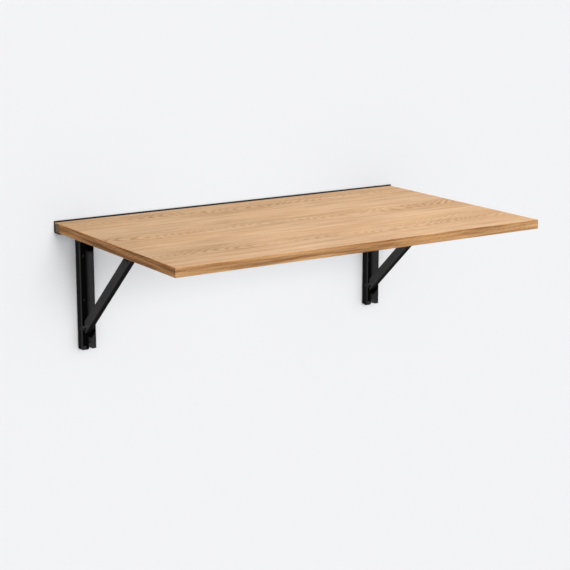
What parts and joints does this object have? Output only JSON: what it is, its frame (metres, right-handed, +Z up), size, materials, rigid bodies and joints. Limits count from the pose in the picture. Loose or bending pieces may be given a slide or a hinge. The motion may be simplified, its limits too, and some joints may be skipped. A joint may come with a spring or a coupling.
{
  "type": "wall mounted drop leaf table",
  "caption": "Oak drop leaf table for a wall, on a steel rail and folding steel brackets with hinged braces.",
  "frame": {"origin": "on the wall plane, at mid width, level with the top of the table", "axes": "+X along the wall to the right of someone facing it, +Y into the wall, +Z up"},
  "size_m": [1, 0.6, 0.3295],
  "materials": {
    "oak": "clear matt oil",
    "black_steel": "fine textured matt powder coat",
    "zinc_steel": "black zinc plate",
    "black_plastic": "fine moulded texture",
    "black_nylon": "smooth turned nylon"
  },
  "bodies": {
    "wall_frame": {"wall_rail": "black_steel", "ledge_strip": "oak", "arm_pins": "zinc_steel", "brace_pins": "zinc_steel", "upright_left": "black_steel", "foot_cap_left": "black_plastic", "upright_right": "black_steel", "foot_cap_right": "black_plastic"},
    "leaf": {"leaf_board": "oak", "lipping_front": "oak", "lipping_left": "oak", "lipping_right": "oak", "arm_screws": "zinc_steel", "arm_left": "black_steel", "arm_right": "black_steel"},
    "brace_left": {"brace_tube_left": "black_steel", "brace_plugs_left": "black_plastic", "pivot_tube_left": "zinc_steel", "cross_pin_left": "zinc_steel", "glide_sleeve_left": "black_nylon"},
    "brace_right": {"brace_tube_right": "black_steel", "brace_plugs_right": "black_plastic", "pivot_tube_right": "zinc_steel", "cross_pin_right": "zinc_steel", "glide_sleeve_right": "black_nylon"}
  },
  "joints": [
    {"name": "leaf_hinge", "type": "hinge", "parent": "wall_frame", "child": "leaf", "pos_m": [0, -0.0162, -0.0395], "axis": [1, 0, 0], "range_deg": [0, 90]},
    {"name": "brace_pivot_left", "type": "hinge", "parent": "wall_frame", "child": "brace_left", "pos_m": [-0.428, -0.0162, -0.266], "axis": [1, 0, 0], "range_deg": [0, 132]},
    {"name": "brace_pivot_right", "type": "hinge", "parent": "wall_frame", "child": "brace_right", "pos_m": [0.428, -0.0162, -0.266], "axis": [1, 0, 0], "range_deg": [0, 132]}
  ],
  "couplings": [
    {"joint": "brace_pivot_left", "follows": "leaf_hinge", "ratio": 1.4666},
    {"joint": "brace_pivot_right", "follows": "leaf_hinge", "ratio": 1.4666}
  ]
}
